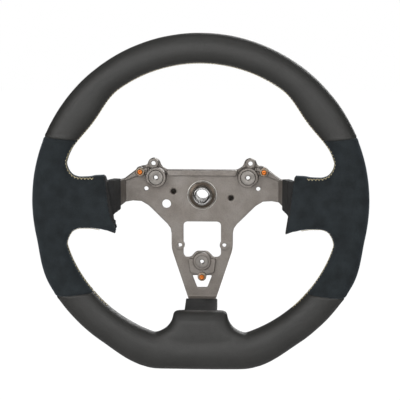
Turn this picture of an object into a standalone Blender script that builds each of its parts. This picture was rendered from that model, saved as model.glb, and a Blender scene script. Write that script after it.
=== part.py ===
"""Three-spoke flat-bottomed car steering wheel, without its airbag module.

A die-cast hub frame carries a splined steel bush, three airbag bosses and three sprung horn contacts.
Its three arms rise to a steel rim rod, which is moulded into foam and wrapped in leather and suede.

Axes: the driver looks along +Y, +X is to the driver's right and +Z is up. The origin is on the steering
axis, at the rear face of the splined bush. Lengths are in metres, written as millimetres times MM.
"""

import bmesh
import bpy
from math import asin, atan2, cos, degrees, pi, radians, sin, sqrt, tan
from mathutils import Vector

MM = 0.001
OBJECT_NAME = "steering_wheel"
GAP = 0.3 * MM                      # clearance between neighbouring solids

# Rim
RIM_Y = -86 * MM                    # middle plane of the rim
RIM_OUTER_R = 180 * MM              # round upper part
RIM_INNER_R = 148.4 * MM
RIM_HALF_DEPTH = 14.5 * MM
SHOULDER_GROWTH = 6 * MM            # the lower quarters swell outwards by this much
CORNER_GROWTH = 3.6 * MM            # and the corners of the flat by this much more
LOWER_INNER_GROWTH = 2 * MM
FLAT_Z = 182.3 * MM                 # the flat bottom lies this far below the axis
THUMB_REST = 6 * MM                 # inward swelling above each spoke
THUMB_ANGLE = 37
THUMB_SPAN = 18
RIM_SECTION_POWER = 2.3
RIM_STATIONS = 52
SECTION_POINTS = 10
ROD_R = 5 * MM
ARM_SLOT_GAP = 0.7 * MM             # between the arms and the foam moulded around them

# Wraps
SKIN = 1.2 * MM                     # thickness of leather and suede
FOAM_INSET = SKIN + 0.5 * MM
LACING_R = 0.6 * MM
UPPER_SEAM = (66.5 * MM, 0.115, 133 * MM)      # height at the inner edge, slope, and where that edge is
LOWER_SEAM = (-96.7 * MM, -0.125, 111 * MM)

# Hub frame
PLATE_FRONT = -30 * MM
PLATE_THICKNESS = 5 * MM
PLATE_BACK = PLATE_FRONT + PLATE_THICKNESS
HUB_BORE_R = 15 * MM                # hole in the plate around the bush
LIP_FRONT = -37 * MM
BOSS_FRONT = -41 * MM
LUG_FRONT = -38 * MM
LUG_R = 5.3 * MM
SIDE_BOSS = (50.6 * MM, 20.5 * MM)
SIDE_LUG = (53.2 * MM, 36.1 * MM)
SIDE_CONTACT = (68.0 * MM, 26.6 * MM)
LOWER_BOSS = (0.0, -73.5 * MM)
LOWER_CONTACT = (0.0, -90.2 * MM)
SMALL_HOLE = (61.8 * MM, 7.0 * MM)
SCALLOP_R = 8.2 * MM                # cut out of the boss around the small hole
WINDOW_HOLE = (24.6 * MM, -56.2 * MM)
WIRE_HOLE = (-39.5 * MM, -10.0 * MM)
PULLER_HOLES = ((-31.8 * MM, 3.9 * MM), (31.8 * MM, -3.2 * MM))
BOSS_R = 10.9 * MM
LOWER_BOSS_R = 9.6 * MM
BOSS_RECESS_R = 8.4 * MM
BOSS_WALL = 6.5 * MM                 # the bosses are hollow behind this
POCKET_R = 6.6 * MM
LOWER_BUTTON_R = 7.1 * MM           # the lower boss's insert stands proud of it
LOWER_BOSS_FRONT = BOSS_FRONT + 4.6 * MM
BOSS_RECESS = 1.6 * MM
INSERT_SHANK_R = 3.8 * MM
INSERT_BORE_R = 2.3 * MM

# Splined bush
NOSE_FRONT = -39.5 * MM
NOSE_R = 10.5 * MM
SPLINE_R = 7.75 * MM
SPLINE_DEPTH = 0.7 * MM
SPLINE_TEETH = 24

# Sprung horn contacts
CONTACT_TRAVEL = 1.5 * MM
GUIDE_R = 3.6 * MM
GUIDE_BORE_R = 1.8 * MM
GUIDE_FRONT = LUG_FRONT - 1.3 * MM
GUIDE_BACK = PLATE_BACK + 1.0 * MM
CUP_R = 2.8 * MM
CUP_FLOOR = -33.5 * MM
PIN_HEAD_R = 2.9 * MM
PIN_HEAD_BACK = GUIDE_FRONT - CONTACT_TRAVEL - GAP
PIN_FRONT = PIN_HEAD_BACK - 1.9 * MM
PIN_R = 1.5 * MM
PIN_GROOVE_R = 1.1 * MM
CLIP_FRONT = GUIDE_BACK + 0.8 * MM
CLIP_THICKNESS = 0.7 * MM
PIN_BACK = CLIP_FRONT + CLIP_THICKNESS + 1.6 * MM
SPRING_WIRE_R = 0.22 * MM
SPRING_COIL_R = 2.2 * MM
SPRING_TURNS = 4

LEFT, RIGHT = -1, 1


# ---------------------------------------------------------------- scene helpers

def clear_scene():
    for old in list(bpy.data.objects):
        bpy.data.objects.remove(old, do_unlink=True)
    for old in list(bpy.data.collections):
        bpy.data.collections.remove(old)


def new_collection(name):
    made = bpy.data.collections.new(name)
    bpy.context.scene.collection.children.link(made)
    return made


def material(name, colour, roughness, metallic=0.0):
    made = bpy.data.materials.get(name)
    if made is None:
        made = bpy.data.materials.new(name)
        made.use_nodes = True
        shader = made.node_tree.nodes["Principled BSDF"]
        shader.inputs["Base Color"].default_value = (*colour, 1.0)
        shader.inputs["Roughness"].default_value = roughness
        shader.inputs["Metallic"].default_value = metallic
    return made


def cast_alloy():
    return material("cast_alloy", (0.27, 0.25, 0.235), 0.55, 0.6)


def polished_steel():
    return material("polished_steel", (0.72, 0.72, 0.72), 0.12, 1.0)


def plain_steel():
    return material("plain_steel", (0.35, 0.35, 0.36), 0.4, 1.0)


def black_foam():
    return material("black_foam", (0.012, 0.012, 0.013), 0.75)


def black_leather():
    return material("black_leather", (0.045, 0.045, 0.043), 0.45)


def black_suede():
    return material("black_suede", (0.018, 0.02, 0.024), 0.95)


def tan_thread():
    return material("tan_thread", (0.42, 0.30, 0.17), 0.8)


def copper():
    return material("copper", (0.62, 0.22, 0.08), 0.35, 1.0)


def natural_nylon():
    return material("natural_nylon", (0.55, 0.50, 0.42), 0.5)


def add_object(name, mesh, finish=None):
    made = bpy.data.objects.new(name, mesh)
    PARTS.objects.link(made)
    if finish is not None and not mesh.materials:
        mesh.materials.append(finish)
    return made


def from_bmesh(name, bm, finish=None):
    bmesh.ops.recalc_face_normals(bm, faces=bm.faces)
    mesh = bpy.data.meshes.new(name)
    bm.to_mesh(mesh)
    bm.free()
    return add_object(name, mesh, finish)


def as_cutter(tool):
    """Moves an object to the cutters, where it shapes others and isn't a part itself."""
    PARTS.objects.unlink(tool)
    CUTTERS.objects.link(tool)
    tool.hide_render = True
    tool.display_type = "WIRE"
    return tool


def boolean(target, tool, operation):
    if tool.name not in CUTTERS.objects:
        as_cutter(tool)
    step = target.modifiers.new(f"{operation.lower()} {tool.name}", "BOOLEAN")
    step.operation = operation
    step.solver = "EXACT"
    step.object = tool
    return target


def join(target, tool):
    return boolean(target, tool, "UNION")


def cut(target, tool):
    return boolean(target, tool, "DIFFERENCE")


def keep_inside(target, tool):
    return boolean(target, tool, "INTERSECT")


def made_mesh(source):
    """Replaces a curve, or an object with modifiers, by a plain mesh object that can be cut."""
    bpy.context.view_layer.update()
    graph = bpy.context.evaluated_depsgraph_get()
    mesh = bpy.data.meshes.new_from_object(source.evaluated_get(graph))
    bm = bmesh.new()
    bm.from_mesh(mesh)
    bmesh.ops.remove_doubles(bm, verts=bm.verts, dist=0.00001)
    bm.to_mesh(mesh)
    bm.free()
    made = bpy.data.objects.new(source.name, mesh)
    made.matrix_world = source.matrix_world
    name = source.name
    bpy.data.objects.remove(source, do_unlink=True)
    PARTS.objects.link(made)
    made.name = name
    return made


# ---------------------------------------------------------------- shape helpers

def rounded(corners, step=22):
    """Points of a closed outline, whose corners are (x, z, fillet radius)."""
    points = []
    for i, (x, z, r) in enumerate(corners):
        here = Vector((x, z))
        before = (Vector(corners[i - 1][:2]) - here).normalized()
        after = (Vector(corners[(i + 1) % len(corners)][:2]) - here).normalized()
        opening = before.angle(after)
        if r <= 0 or opening > pi - 0.01:
            points.append((x, z))
            continue
        centre = here + (before + after).normalized() * r / sin(opening / 2)
        start = here + before * r / tan(opening / 2)
        end = here + after * r / tan(opening / 2)
        a = atan2(start.y - centre.y, start.x - centre.x)
        b = atan2(end.y - centre.y, end.x - centre.x)
        sweep = (b - a + pi) % (2 * pi) - pi
        count = max(2, round(abs(degrees(sweep)) / step))
        for k in range(count + 1):
            angle = a + sweep * k / count
            points.append((centre.x + r * cos(angle), centre.y + r * sin(angle)))
    return points


def mirrored(half):
    """A closed outline from its half at +X, listed from the top of the middle line to its bottom."""
    inner = [(-x, z, r) for x, z, r in reversed(half) if x > 0]
    return list(half) + inner


def slab(name, outlines, front, back, finish=None):
    """A flat plate between two depths, with a first outline and any holes."""
    curve = bpy.data.curves.new(name, "CURVE")
    curve.dimensions = "2D"
    curve.fill_mode = "BOTH"
    curve.extrude = (back - front) / 2
    for outline in outlines:
        spline = curve.splines.new("POLY")
        spline.points.add(len(outline) - 1)
        for point, (x, z) in zip(spline.points, outline):
            point.co = (x, z, 0, 1)
        spline.use_cyclic_u = True
    made = bpy.data.objects.new(name, curve)
    PARTS.objects.link(made)
    made.rotation_euler = (pi / 2, 0, 0)
    made.location = (0, (front + back) / 2, 0)
    made = made_mesh(made)
    if finish is not None:
        made.data.materials.append(finish)
    return made


def disc(name, centre, radius, front, back, segments=20, back_radius=None):
    """A round bar or cone along the steering axis."""
    bm = bmesh.new()
    bmesh.ops.create_cone(bm, cap_ends=True, segments=segments, depth=back - front,
                          radius1=back_radius or radius, radius2=radius)
    made = from_bmesh(name, bm)
    made.rotation_euler = (pi / 2, 0, 0)
    made.location = (centre[0], (front + back) / 2, centre[1])
    return made


def turned(name, profile, finish, segments=16, ring=True):
    """A solid of revolution about the steering axis, from (radius, depth) points.

    The points run back along the outer side, from the driver's end. A ring's return along its bore.
    """
    bm = bmesh.new()
    verts = [bm.verts.new((r, 0, -y)) for r, y in profile]
    pairs = list(zip(verts, verts[1:]))
    if ring:
        pairs.append((verts[-1], verts[0]))
    for a, b in pairs:
        bm.edges.new((a, b))
    mesh = bpy.data.meshes.new(name)
    bm.to_mesh(mesh)
    bm.free()
    mesh.materials.append(finish)
    made = add_object(name, mesh)
    made.rotation_euler = (pi / 2, 0, 0)
    screw = made.modifiers.new("turn", "SCREW")
    screw.steps = segments
    screw.render_steps = segments
    screw.use_merge_vertices = True
    screw.merge_threshold = 0.00001
    return made


def loft(name, rings, closed=False, finish=None):
    """A skin over rings of equal point counts: endless when closed, otherwise capped."""
    bm = bmesh.new()
    rows = [[bm.verts.new(p) for p in ring] for ring in rings]
    count = len(rows[0])
    spans = len(rows) if closed else len(rows) - 1
    for i in range(spans):
        here, there = rows[i], rows[(i + 1) % len(rows)]
        for j in range(count):
            k = (j + 1) % count
            bm.faces.new((here[j], here[k], there[k], there[j]))
    if not closed:
        bm.faces.new(rows[0])
        bm.faces.new(rows[-1])
    return from_bmesh(name, bm, finish)


def tube(name, points, radius, finish, closed=False, resolution=1):
    curve = bpy.data.curves.new(name, "CURVE")
    curve.dimensions = "3D"
    curve.bevel_depth = radius
    curve.bevel_resolution = resolution
    curve.use_fill_caps = not closed
    spline = curve.splines.new("POLY")
    spline.points.add(len(points) - 1)
    for point, where in zip(spline.points, points):
        point.co = (*where, 1)
    spline.use_cyclic_u = closed
    made = bpy.data.objects.new(name, curve)
    PARTS.objects.link(made)
    made = made_mesh(made)
    made.data.materials.append(finish)
    return made


def smoothstep(t):
    t = min(1.0, max(0.0, t))
    return t * t * (3 - 2 * t)


def soft_min(a, b, blend):
    """The smaller of two lengths, rounded where they cross."""
    return (a + b - sqrt((a - b) ** 2 + blend ** 2)) / 2


def superellipse(middle, half_a, half_b, power, count=SECTION_POINTS, turn=0.0):
    """A ring of points around middle, spanned by two half-axis vectors."""
    ring = []
    for k in range(count):
        angle = 2 * pi * (k + turn) / count
        a = abs(cos(angle)) ** (2 / power) * (1 if cos(angle) >= 0 else -1)
        b = abs(sin(angle)) ** (2 / power) * (1 if sin(angle) >= 0 else -1)
        ring.append(middle + half_a * a + half_b * b)
    return ring


# ---------------------------------------------------------------- rim shape

def elevation(theta):
    """Degrees above the horizontal of a direction, the same on the left and on the right."""
    return degrees(asin(max(-1.0, min(1.0, sin(theta)))))


def rim_outer(theta):
    e = elevation(theta)
    r = RIM_OUTER_R + SHOULDER_GROWTH * smoothstep((-e - 12) / 17)
    r += CORNER_GROWTH * smoothstep((-e - 55) / 15)
    if e < -45:
        r = soft_min(r, FLAT_Z / sin(radians(-e)), 2 * MM)
    return r


def rim_inner(theta):
    e = elevation(theta)
    swell = (e - THUMB_ANGLE) / THUMB_SPAN
    r = RIM_INNER_R + LOWER_INNER_GROWTH * smoothstep(-e / 25)
    if abs(swell) < 1:
        r -= THUMB_REST * cos(swell * pi / 2) ** 2
    return r


def rim_middle(theta):
    return (rim_outer(theta) + rim_inner(theta)) / 2


def rim_point(theta, radius, y=RIM_Y):
    return Vector((radius * cos(theta), y, radius * sin(theta)))


def rim_angles(stations=RIM_STATIONS):
    return [2 * pi * i / stations for i in range(stations)]


def rim_shape(name, inset):
    rings = []
    for theta in rim_angles():
        half_width = (rim_outer(theta) - rim_inner(theta)) / 2 - inset
        outward = Vector((cos(theta), 0, sin(theta)))
        rings.append(superellipse(rim_point(theta, rim_middle(theta)), outward * half_width,
                                  Vector((0, RIM_HALF_DEPTH - inset, 0)), RIM_SECTION_POWER))
    return loft(name, rings, closed=True)


# Side spokes: upper and lower edge (x, z), front and back depth, from inside the rim to the inner end.
SIDE_PAD = [
    ((160, 52), (160, -54), -97, -75),
    ((145, 47), (145.5, -49), -98, -74),
    ((141.5, 36.5), (142, -38.5), -98, -74),
    ((137, 29.5), (138, -31.5), -98, -73.5),
    ((130, 26.8), (130.5, -28.2), -97.5, -73),
    ((118, 27.4), (116, -28.2), -96.5, -72.5),
    ((110, 28.6), (104, -31.5), -95.5, -72),
    ((104, 29.8), (93, -35.5), -95, -72),
]
# Lower spoke: height and half width, front and back depth, from inside the rim to the upper end.
LOWER_PAD = [
    (-160, 62, -97, -75),
    (-146, 54, -98, -74),
    (-141, 43, -98, -74),
    (-137, 37, -98, -73.5),
    (-132, 32.2, -97, -73),
    (-126, 30.0, -96, -73),
    (-122, 28.6, -95, -74),
    (-119.5, 24, -93, -76),
]


def pad_end(stations, extra):
    """Carries a side pad's last station on by extra, in the direction that the pad runs."""
    (top_a, low_a, *_), (top_b, low_b, front, back) = stations[-2:]
    moved = []
    for a, b in ((top_a, top_b), (low_a, low_b)):
        run = Vector(b) - Vector(a)
        moved.append(tuple(Vector(b) + run.normalized() * extra))
    return stations + [(moved[0], moved[1], front, back)]


def side_pad(name, side, inset, beyond=0.0):
    """The padded part of a side spoke; beyond lengthens its inner end, in millimetres."""
    stations = pad_end(SIDE_PAD, beyond) if beyond else SIDE_PAD
    rings = []
    for top, low, front, back in stations:
        upper = Vector((side * top[0], 0, top[1])) * MM
        lower = Vector((side * low[0], 0, low[1])) * MM
        middle = (upper + lower) / 2 + Vector((0, (front + back) / 2 * MM, 0))
        reach = (upper - lower) / 2
        reach -= reach.normalized() * inset
        depth = Vector((0, (back - front) / 2 * MM - inset, 0))
        rings.append(superellipse(middle, reach, depth, 3.6, 12, 0.5))
    return loft(name, rings)


def lower_pad(name, inset):
    rings = []
    for z, half_width, front, back in LOWER_PAD:
        top_drop = inset if z == LOWER_PAD[-1][0] else 0.0
        middle = Vector((0, (front + back) / 2 * MM, z * MM - top_drop))
        rings.append(superellipse(middle, Vector((half_width * MM - inset, 0, 0)),
                                  Vector((0, (back - front) / 2 * MM - inset, 0)), 3.6, 12, 0.5))
    return loft(name, rings)


def grip_shape(name, inset, beyond=0.0):
    """Rim and spoke padding in one piece, inset from the finished surface."""
    whole = rim_shape(name, inset)
    join(whole, side_pad(f"{name} left pad", LEFT, inset, beyond))
    join(whole, side_pad(f"{name} right pad", RIGHT, inset, beyond))
    join(whole, lower_pad(f"{name} lower pad", inset))
    return whole


# ---------------------------------------------------------------- hub frame arms

# Along an arm: distance from the axis, depth, the two edges across it, and thickness.
SIDE_ARM = [
    (78, -27.5, -4, 20, 4.4),
    (86, -27.5, -7.8, 17.8, 4.6),
    (97, -76, -12.6, 20, 5),
    (106, -82, -12, 18.5, 5),
    (126, -84, -9, 9, 6),
    (152, -86, -8, 8, 9),
    (158, -86, -8, 8, 15),
    (172, -86, -8, 8, 15),
]
LOWER_ARM = [
    (104, -27.5, -15, 15, 4.4),
    (116, -27.5, -15.2, 15.2, 4.6),
    (123.5, -76, -14, 14, 5),
    (131, -82, -12, 12, 5),
    (148, -85, -10, 10, 6),
    (154, -86, -9, 9, 9),
    (159, -86, -9, 9, 15),
    (173, -86, -9, 9, 15),
]


def arm(name, stations, place, grow=0.0, thicker=0.0):
    """A bent strap: mitred at each station, and placed in the world by a function of (u, y, w)."""
    path = [Vector((u, y)) * MM for u, y, *_ in stations]
    rings = []
    for i, (_, _, low, high, thickness) in enumerate(stations):
        ahead = (path[min(i + 1, len(path) - 1)] - path[min(i, len(path) - 2)]).normalized()
        behind = (path[max(i, 1)] - path[max(i - 1, 0)]).normalized()
        along = (ahead + behind).normalized()
        normal = Vector((-along.y, along.x))
        half = (thickness * MM / 2 + grow + thicker) / max(0.5, normal.dot(Vector((-ahead.y, ahead.x))))
        a, b = path[i] - normal * half, path[i] + normal * half
        w0, w1 = low * MM - grow, high * MM + grow
        rings.append([place(a.x, a.y, w0), place(b.x, b.y, w0), place(b.x, b.y, w1), place(a.x, a.y, w1)])
    return loft(name, rings)


def to_right(u, y, w):
    return Vector((u, y, w))


def to_left(u, y, w):
    return Vector((-u, y, w))


def to_bottom(u, y, w):
    return Vector((w, y, -u))


def arms(prefix, grow=0.0):
    return [arm(f"{prefix} right arm", SIDE_ARM, to_right, grow),
            arm(f"{prefix} left arm", SIDE_ARM, to_left, grow),
            arm(f"{prefix} lower arm", LOWER_ARM, to_bottom, grow)]


def sleeve(name, stations, place, grow, wall):
    """Foam moulded around the part of an arm that rises from the plate; its first station is the open end."""
    return arm(name, stations, place, grow, thicker=ARM_SLOT_GAP + wall)


def lower_neck(name, grow=0.0):
    reach = 17.4
    stations = [(118.4, -42.9, -reach, reach, 5), (123.5, -76, -reach, reach, 5), (131, -82, -reach, reach, 5)]
    return sleeve(name, stations, to_bottom, grow, 1.9 * MM)


def side_neck(name, place, grow=0.0):
    stations = [(91.8, -52.9, -12.6, 21.2, 4.8), (97, -76, -14.8, 22.2, 5), (106, -82, -14.2, 20.7, 5)]
    return sleeve(name, stations, place, grow, 1.2 * MM)


def rod_path(count=RIM_STATIONS):
    return [rim_point(theta, rim_middle(theta)) for theta in rim_angles(count)]


# ---------------------------------------------------------------- pieces

def hub_plate():
    half = [
        (38.5, 28.2, 4), (44.6, 31.6, 6), (48.1, 40.5, 5), (58.4, 40.5, 5), (60.8, 32.8, 4),
        (67.5, 32.2, 6), (86.4, 17.8, 0), (86.4, -8.2, 0), (66.5, -4.6, 20), (34, -36.8, 14),
        (34, -60, 30), (15.4, -116.4, 0),
    ]
    outline = rounded([(x * MM, z * MM, r * MM) for x, z, r in mirrored(half)])
    window = [(20.8, -29.6, 4.5), (20.8, -69.8, 4.5), (12.5, -69.8, 4), (6.5, -63.0, 5)]
    foot_window = [(11.2, -90.0, 1.2), (5.2, -105.2, 3)]
    holes = [rounded([(x * MM, z * MM, r * MM) for x, z, r in mirrored(h)]) for h in (window, foot_window)]
    return slab("hub_frame", [outline, *holes], PLATE_FRONT, PLATE_BACK, cast_alloy())


def contact_places():
    x, z = SIDE_CONTACT
    return {"left": (-x, z), "right": (x, z), "lower": LOWER_CONTACT}


def boss_places():
    x, z = SIDE_BOSS
    return {"left": (-x, z), "right": (x, z), "lower": LOWER_BOSS}


def insert_front(name):
    return BOSS_FRONT + (3 * MM if name == "lower" else 0)


def add_lip(frame):
    corners = [(-37, 22.2, 1.5), (37, 22.2, 1.5), (39, 28.2, 1.5), (-39, 28.2, 1.5)]
    outline = rounded([(x * MM, z * MM, r * MM) for x, z, r in corners])
    join(frame, slab("lip", [outline], LIP_FRONT, PLATE_FRONT + 1 * MM))


def add_corner(frame, side):
    """Everything raised at one upper corner: boss, lug and the flange that carries the horn contact."""
    x, z = SIDE_BOSS
    overlap = PLATE_FRONT + 1.2 * MM
    join(frame, disc(f"boss {side}", (side * x, z), BOSS_R, BOSS_FRONT, overlap, 24, BOSS_R + 0.6 * MM))
    x, z = SMALL_HOLE
    floor = PLATE_FRONT - 0.4 * MM
    cut(frame, disc(f"boss scallop {side}", (side * x, z), SCALLOP_R, BOSS_FRONT - 2 * MM, floor, 16))
    x, z = SIDE_LUG
    join(frame, disc(f"lug {side}", (side * x, z), LUG_R, LUG_FRONT, overlap, 18, LUG_R + 0.2 * MM))
    x, z = SIDE_CONTACT
    join(frame, disc(f"contact lug {side}", (side * x, z), 5.0 * MM, LUG_FRONT, overlap, 18, 5.3 * MM))
    corners = [(58, 31, 1), (68, 31.2, 3), (84.4, 18.7, 0.5), (84.4, 16.1, 0.5), (72, 21.5, 3), (58, 24, 1)]
    outline = rounded([(side * px * MM, pz * MM, r * MM) for px, pz, r in corners])
    join(frame, slab(f"flange {side}", [outline], LUG_FRONT + 3 * MM, PLATE_FRONT + 0.9 * MM))
    post = [(side * a * MM, b * MM) for a, b in ((60.2, 27.5), (63.4, 27.5), (63.4, 30.6), (60.2, 30.6))]
    join(frame, slab(f"post {side}", [post], LUG_FRONT + 0.6 * MM, PLATE_FRONT + 0.7 * MM))


def add_lower_boss(frame):
    overlap = PLATE_FRONT + 1.2 * MM
    join(frame, disc("lower boss", LOWER_BOSS, LOWER_BOSS_R, LOWER_BOSS_FRONT, PLATE_BACK - 1 * MM, 24,
                     LOWER_BOSS_R + 0.8 * MM))
    web = [(15.5, -71, 2), (13, -86.6, 2), (4, -88.8, 6)]
    outline = rounded([(x * MM, z * MM, r * MM) for x, z, r in mirrored(web)])
    join(frame, slab("web", [outline], PLATE_FRONT - 4.5 * MM, overlap))
    join(frame, disc("lower contact lug", LOWER_CONTACT, 4.9 * MM, LUG_FRONT, PLATE_BACK - 0.8 * MM, 18))


def add_back(frame):
    """Hub housing, blind puller bosses and stiffening ribs behind the plate."""
    start = PLATE_BACK - 1.1 * MM
    join(frame, disc("hub housing", (0, 0), 22.5 * MM, start, -12 * MM, 28, 21 * MM))
    for i, place in enumerate(PULLER_HOLES):
        join(frame, disc(f"puller boss {i}", place, 6.4 * MM, start, -14 * MM, 14, 6.0 * MM))
    for side in (LEFT, RIGHT):
        ribs = [((19, 6), (84, 12), 3), ((19, -6), (70, -2), 3), ((29.5, -24), (27.5, -62), 3),
                ((27.3, -62), (12.6, -112), 3)]
        for i, (a, b, width) in enumerate(ribs):
            run = (Vector(b) - Vector(a)).normalized()
            across = Vector((-run.y, run.x)) * width / 2
            corners = [Vector(a) - across, Vector(b) - across, Vector(b) + across, Vector(a) + across]
            outline = [(side * c.x * MM, c.y * MM) for c in corners]
            join(frame, slab(f"rib {i} {side}", [outline], start, PLATE_BACK + 6 * MM - i * 0.4 * MM))


def drill(frame):
    through = (BOSS_FRONT - 5 * MM, 0.0)
    cut(frame, disc("hub bore", (0, 0), HUB_BORE_R + GAP, -60 * MM, 10 * MM, 32))
    for name, place in boss_places().items():
        cut(frame, disc(f"boss bore {name}", place, INSERT_SHANK_R + GAP, *through, 16))
        front = insert_front(name)
        cut(frame, disc(f"boss pocket {name}", place, POCKET_R, front + BOSS_WALL, 0.0, 18))
        if name != "lower":
            cut(frame, disc(f"boss recess {name}", place, BOSS_RECESS_R, front - 5 * MM, front + BOSS_RECESS, 22))
    for name, place in contact_places().items():
        cut(frame, disc(f"contact bore {name}", place, GUIDE_R + GAP, *through, 15))
    for side in (LEFT, RIGHT):
        for label, (x, z), r in (("lug", SIDE_LUG, 2.5), ("small", SMALL_HOLE, 2.5), ("window", WINDOW_HOLE, 2.4)):
            cut(frame, disc(f"{label} hole {side}", (side * x, z), r * MM, *through, 12))
        x, z = SIDE_LUG
        cut(frame, disc(f"lug pocket {side}", (side * x, z), 3.7 * MM, LUG_FRONT + 3.5 * MM, 0.0, 14))
    cut(frame, disc("wire hole", WIRE_HOLE, 5 * MM, *through, 20))
    for i, place in enumerate(PULLER_HOLES):
        profile = [(0, -31.0), (4.9, -31.0), (2.8, -28.9), (2.8, -16.0), (0, -14.6)]
        tool = turned(f"puller hole {i}", [(r * MM, y * MM) for r, y in profile], plain_steel(), 12, ring=False)
        tool.location = (place[0], 0, place[1])
        cut(frame, tool)


def hub_frame():
    frame = hub_plate()
    for side in (LEFT, RIGHT):
        x, z = WINDOW_HOLE
        join(frame, disc(f"window boss {side}", (side * x, z), 5.2 * MM, PLATE_FRONT - 0.4 * MM,
                         PLATE_BACK + 0.4 * MM, 16))
        add_corner(frame, side)
    add_lip(frame)
    add_lower_boss(frame)
    add_back(frame)
    for piece in arms("frame"):
        join(frame, piece)
    drill(frame)
    cut(frame, as_cutter(tube("rod clearance", rod_path(), ROD_R + GAP, plain_steel(), closed=True)))
    return frame


def spline_bush():
    profile = [
        (9.5, -39.5), (10.5, -38.3), (10.5, -33.0), (11.3, -31.8), (14.2, -30.6), (15.0, -29.8),
        (15.0, -11.6), (19.5, -11.6), (19.5, -7.0), (13.0, -6.0), (13.0, -0.8), (12.2, 0.0),
        (8.6, 0.0), (7.75, -0.9), (7.75, -38.4), (8.7, -39.5),
    ]
    bush = turned("spline_bush", [(r * MM, y * MM) for r, y in profile], polished_steel(), 32)
    join(bush, spline_teeth())
    return bush


def spline_teeth():
    """A ring of straight internal teeth, sunk into the wall of the bore."""
    wall = [((SPLINE_R + 0.5 * MM) * cos(a), (SPLINE_R + 0.5 * MM) * sin(a)) for a in rim_angles(24)]
    tooth = 2 * pi / SPLINE_TEETH
    crest, root = SPLINE_R - SPLINE_DEPTH, SPLINE_R + 0.05 * MM
    bore = []
    for k in range(SPLINE_TEETH):
        for part, r in ((-0.32, root), (-0.14, crest), (0.14, crest), (0.32, root)):
            bore.append((r * cos(tooth * (k + part)), r * sin(tooth * (k + part))))
    return slab("spline teeth", [wall, bore], NOSE_FRONT + 2.4 * MM, -2.0 * MM)


def rim_rod():
    return tube("rim_rod", rod_path(), ROD_R, plain_steel(), closed=True)


def rim_foam():
    foam = grip_shape("rim_foam", FOAM_INSET, beyond=2.5)
    foam.data.materials.append(black_foam())
    join(foam, lower_neck("lower neck"))
    join(foam, side_neck("left neck", to_left))
    join(foam, side_neck("right neck", to_right))
    for piece in arms("foam slot", ARM_SLOT_GAP):
        cut(foam, piece)
    cut(foam, as_cutter(tube("foam rod slot", rod_path(), ROD_R + 0.6 * MM, plain_steel(), closed=True)))
    return foam


def seam_height(seam, x):
    height, slope, inner_x = seam
    return height + slope * (abs(x) - inner_x)


def wrap_regions():
    """Outlines, seen from the driver, of the area that each wrap covers."""
    far, half_gap = 220 * MM, GAP / 2
    up = [(side * far, seam_height(UPPER_SEAM, far)) for side in (LEFT, RIGHT)]
    down = [(side * far, seam_height(LOWER_SEAM, far)) for side in (LEFT, RIGHT)]
    up_mid, down_mid = (0, seam_height(UPPER_SEAM, 0)), (0, seam_height(LOWER_SEAM, 0))

    def shifted(points, amount):
        return [(x, z + amount) for x, z in points]

    top = shifted([up[0], up_mid, up[1]], half_gap) + [(far, far), (-far, far)]
    bottom = [(-far, -far), (far, -far)] + shifted([down[1], down_mid, down[0]], -half_gap)
    regions = {"leather_top": top, "leather_bottom": bottom}
    for name, side, i in (("suede_left", LEFT, 0), ("suede_right", RIGHT, 1)):
        upper = shifted([up[i], up_mid], -half_gap)
        lower = shifted([down_mid, down[i]], half_gap)
        regions[name] = upper + lower
    return regions


def wraps():
    """Leather above and below, suede at both sides, each a thin skin around the foam."""
    finishes = {"leather": black_leather, "suede": black_suede}
    for name, region in wrap_regions().items():
        wrap = grip_shape(name, 0.0)
        inside = grip_shape(f"{name} inside", SKIN, beyond=6)
        join(inside, lower_neck(f"{name} lower neck hole", GAP))
        if name.startswith("suede"):
            place = to_left if name.endswith("left") else to_right
            join(inside, side_neck(f"{name} neck hole", place, GAP))
        cut(wrap, inside)
        keep_inside(wrap, slab(f"{name} region", [region], RIM_Y - 60 * MM, RIM_Y + 90 * MM))
        wrap.data.materials.append(finishes[name.split("_")[0]]())


def pad_edge(upper, clearance):
    """The edge of a right-hand side pad as (x, z) points, moved off the skin, from its inner end out."""
    which = 0 if upper else 1
    points = [Vector(station[which]) * MM for station in reversed(SIDE_PAD)]
    return [p + Vector((0, clearance if upper else -clearance)) for p in points]


def lacing_loop(theta_start, theta_end, edges, count, clearance):
    """Points just inside a grip window: on the rim's inner edge, or on a pad's edge where that is nearer."""
    points = []
    for i in range(count + 1):
        theta = theta_start + (theta_end - theta_start) * i / count
        radius = rim_inner(theta) - clearance
        for edge in edges:
            for (xa, za), (xb, zb) in zip(edge, edge[1:]):
                ray = Vector((cos(theta), sin(theta)))
                side = Vector((xb - xa, zb - za))
                cross = ray.x * side.y - ray.y * side.x
                if abs(cross) < 1e-9:
                    continue
                along = (xa * side.y - za * side.x) / cross
                share = (xa * ray.y - za * ray.x) / cross
                if 0 <= share <= 1 and along > 0:
                    radius = min(radius, along)
        points.append(rim_point(theta, radius))
    return points


def lacings():
    clearance = LACING_R + GAP + 0.5 * MM
    upper, lower = pad_edge(True, clearance), pad_edge(False, clearance)
    left_upper = [Vector((-p.x, p.y)) for p in upper]
    start = radians(17)
    top = lacing_loop(start, pi - start, [upper, left_upper], 56, clearance)
    tube("lacing_top", top, LACING_R, tan_thread(), resolution=0)
    foot = [Vector((hw * MM + clearance, z * MM + 0.3 * clearance)) for z, hw, *_ in reversed(LOWER_PAD)]
    for name, side in (("lacing_left", LEFT), ("lacing_right", RIGHT)):
        loop = lacing_loop(radians(-22), radians(-74.5), [lower, foot[1:]], 28, clearance)
        tube(name, [Vector((side * p.x, p.y, p.z)) for p in loop], LACING_R, tan_thread(), resolution=0)


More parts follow.
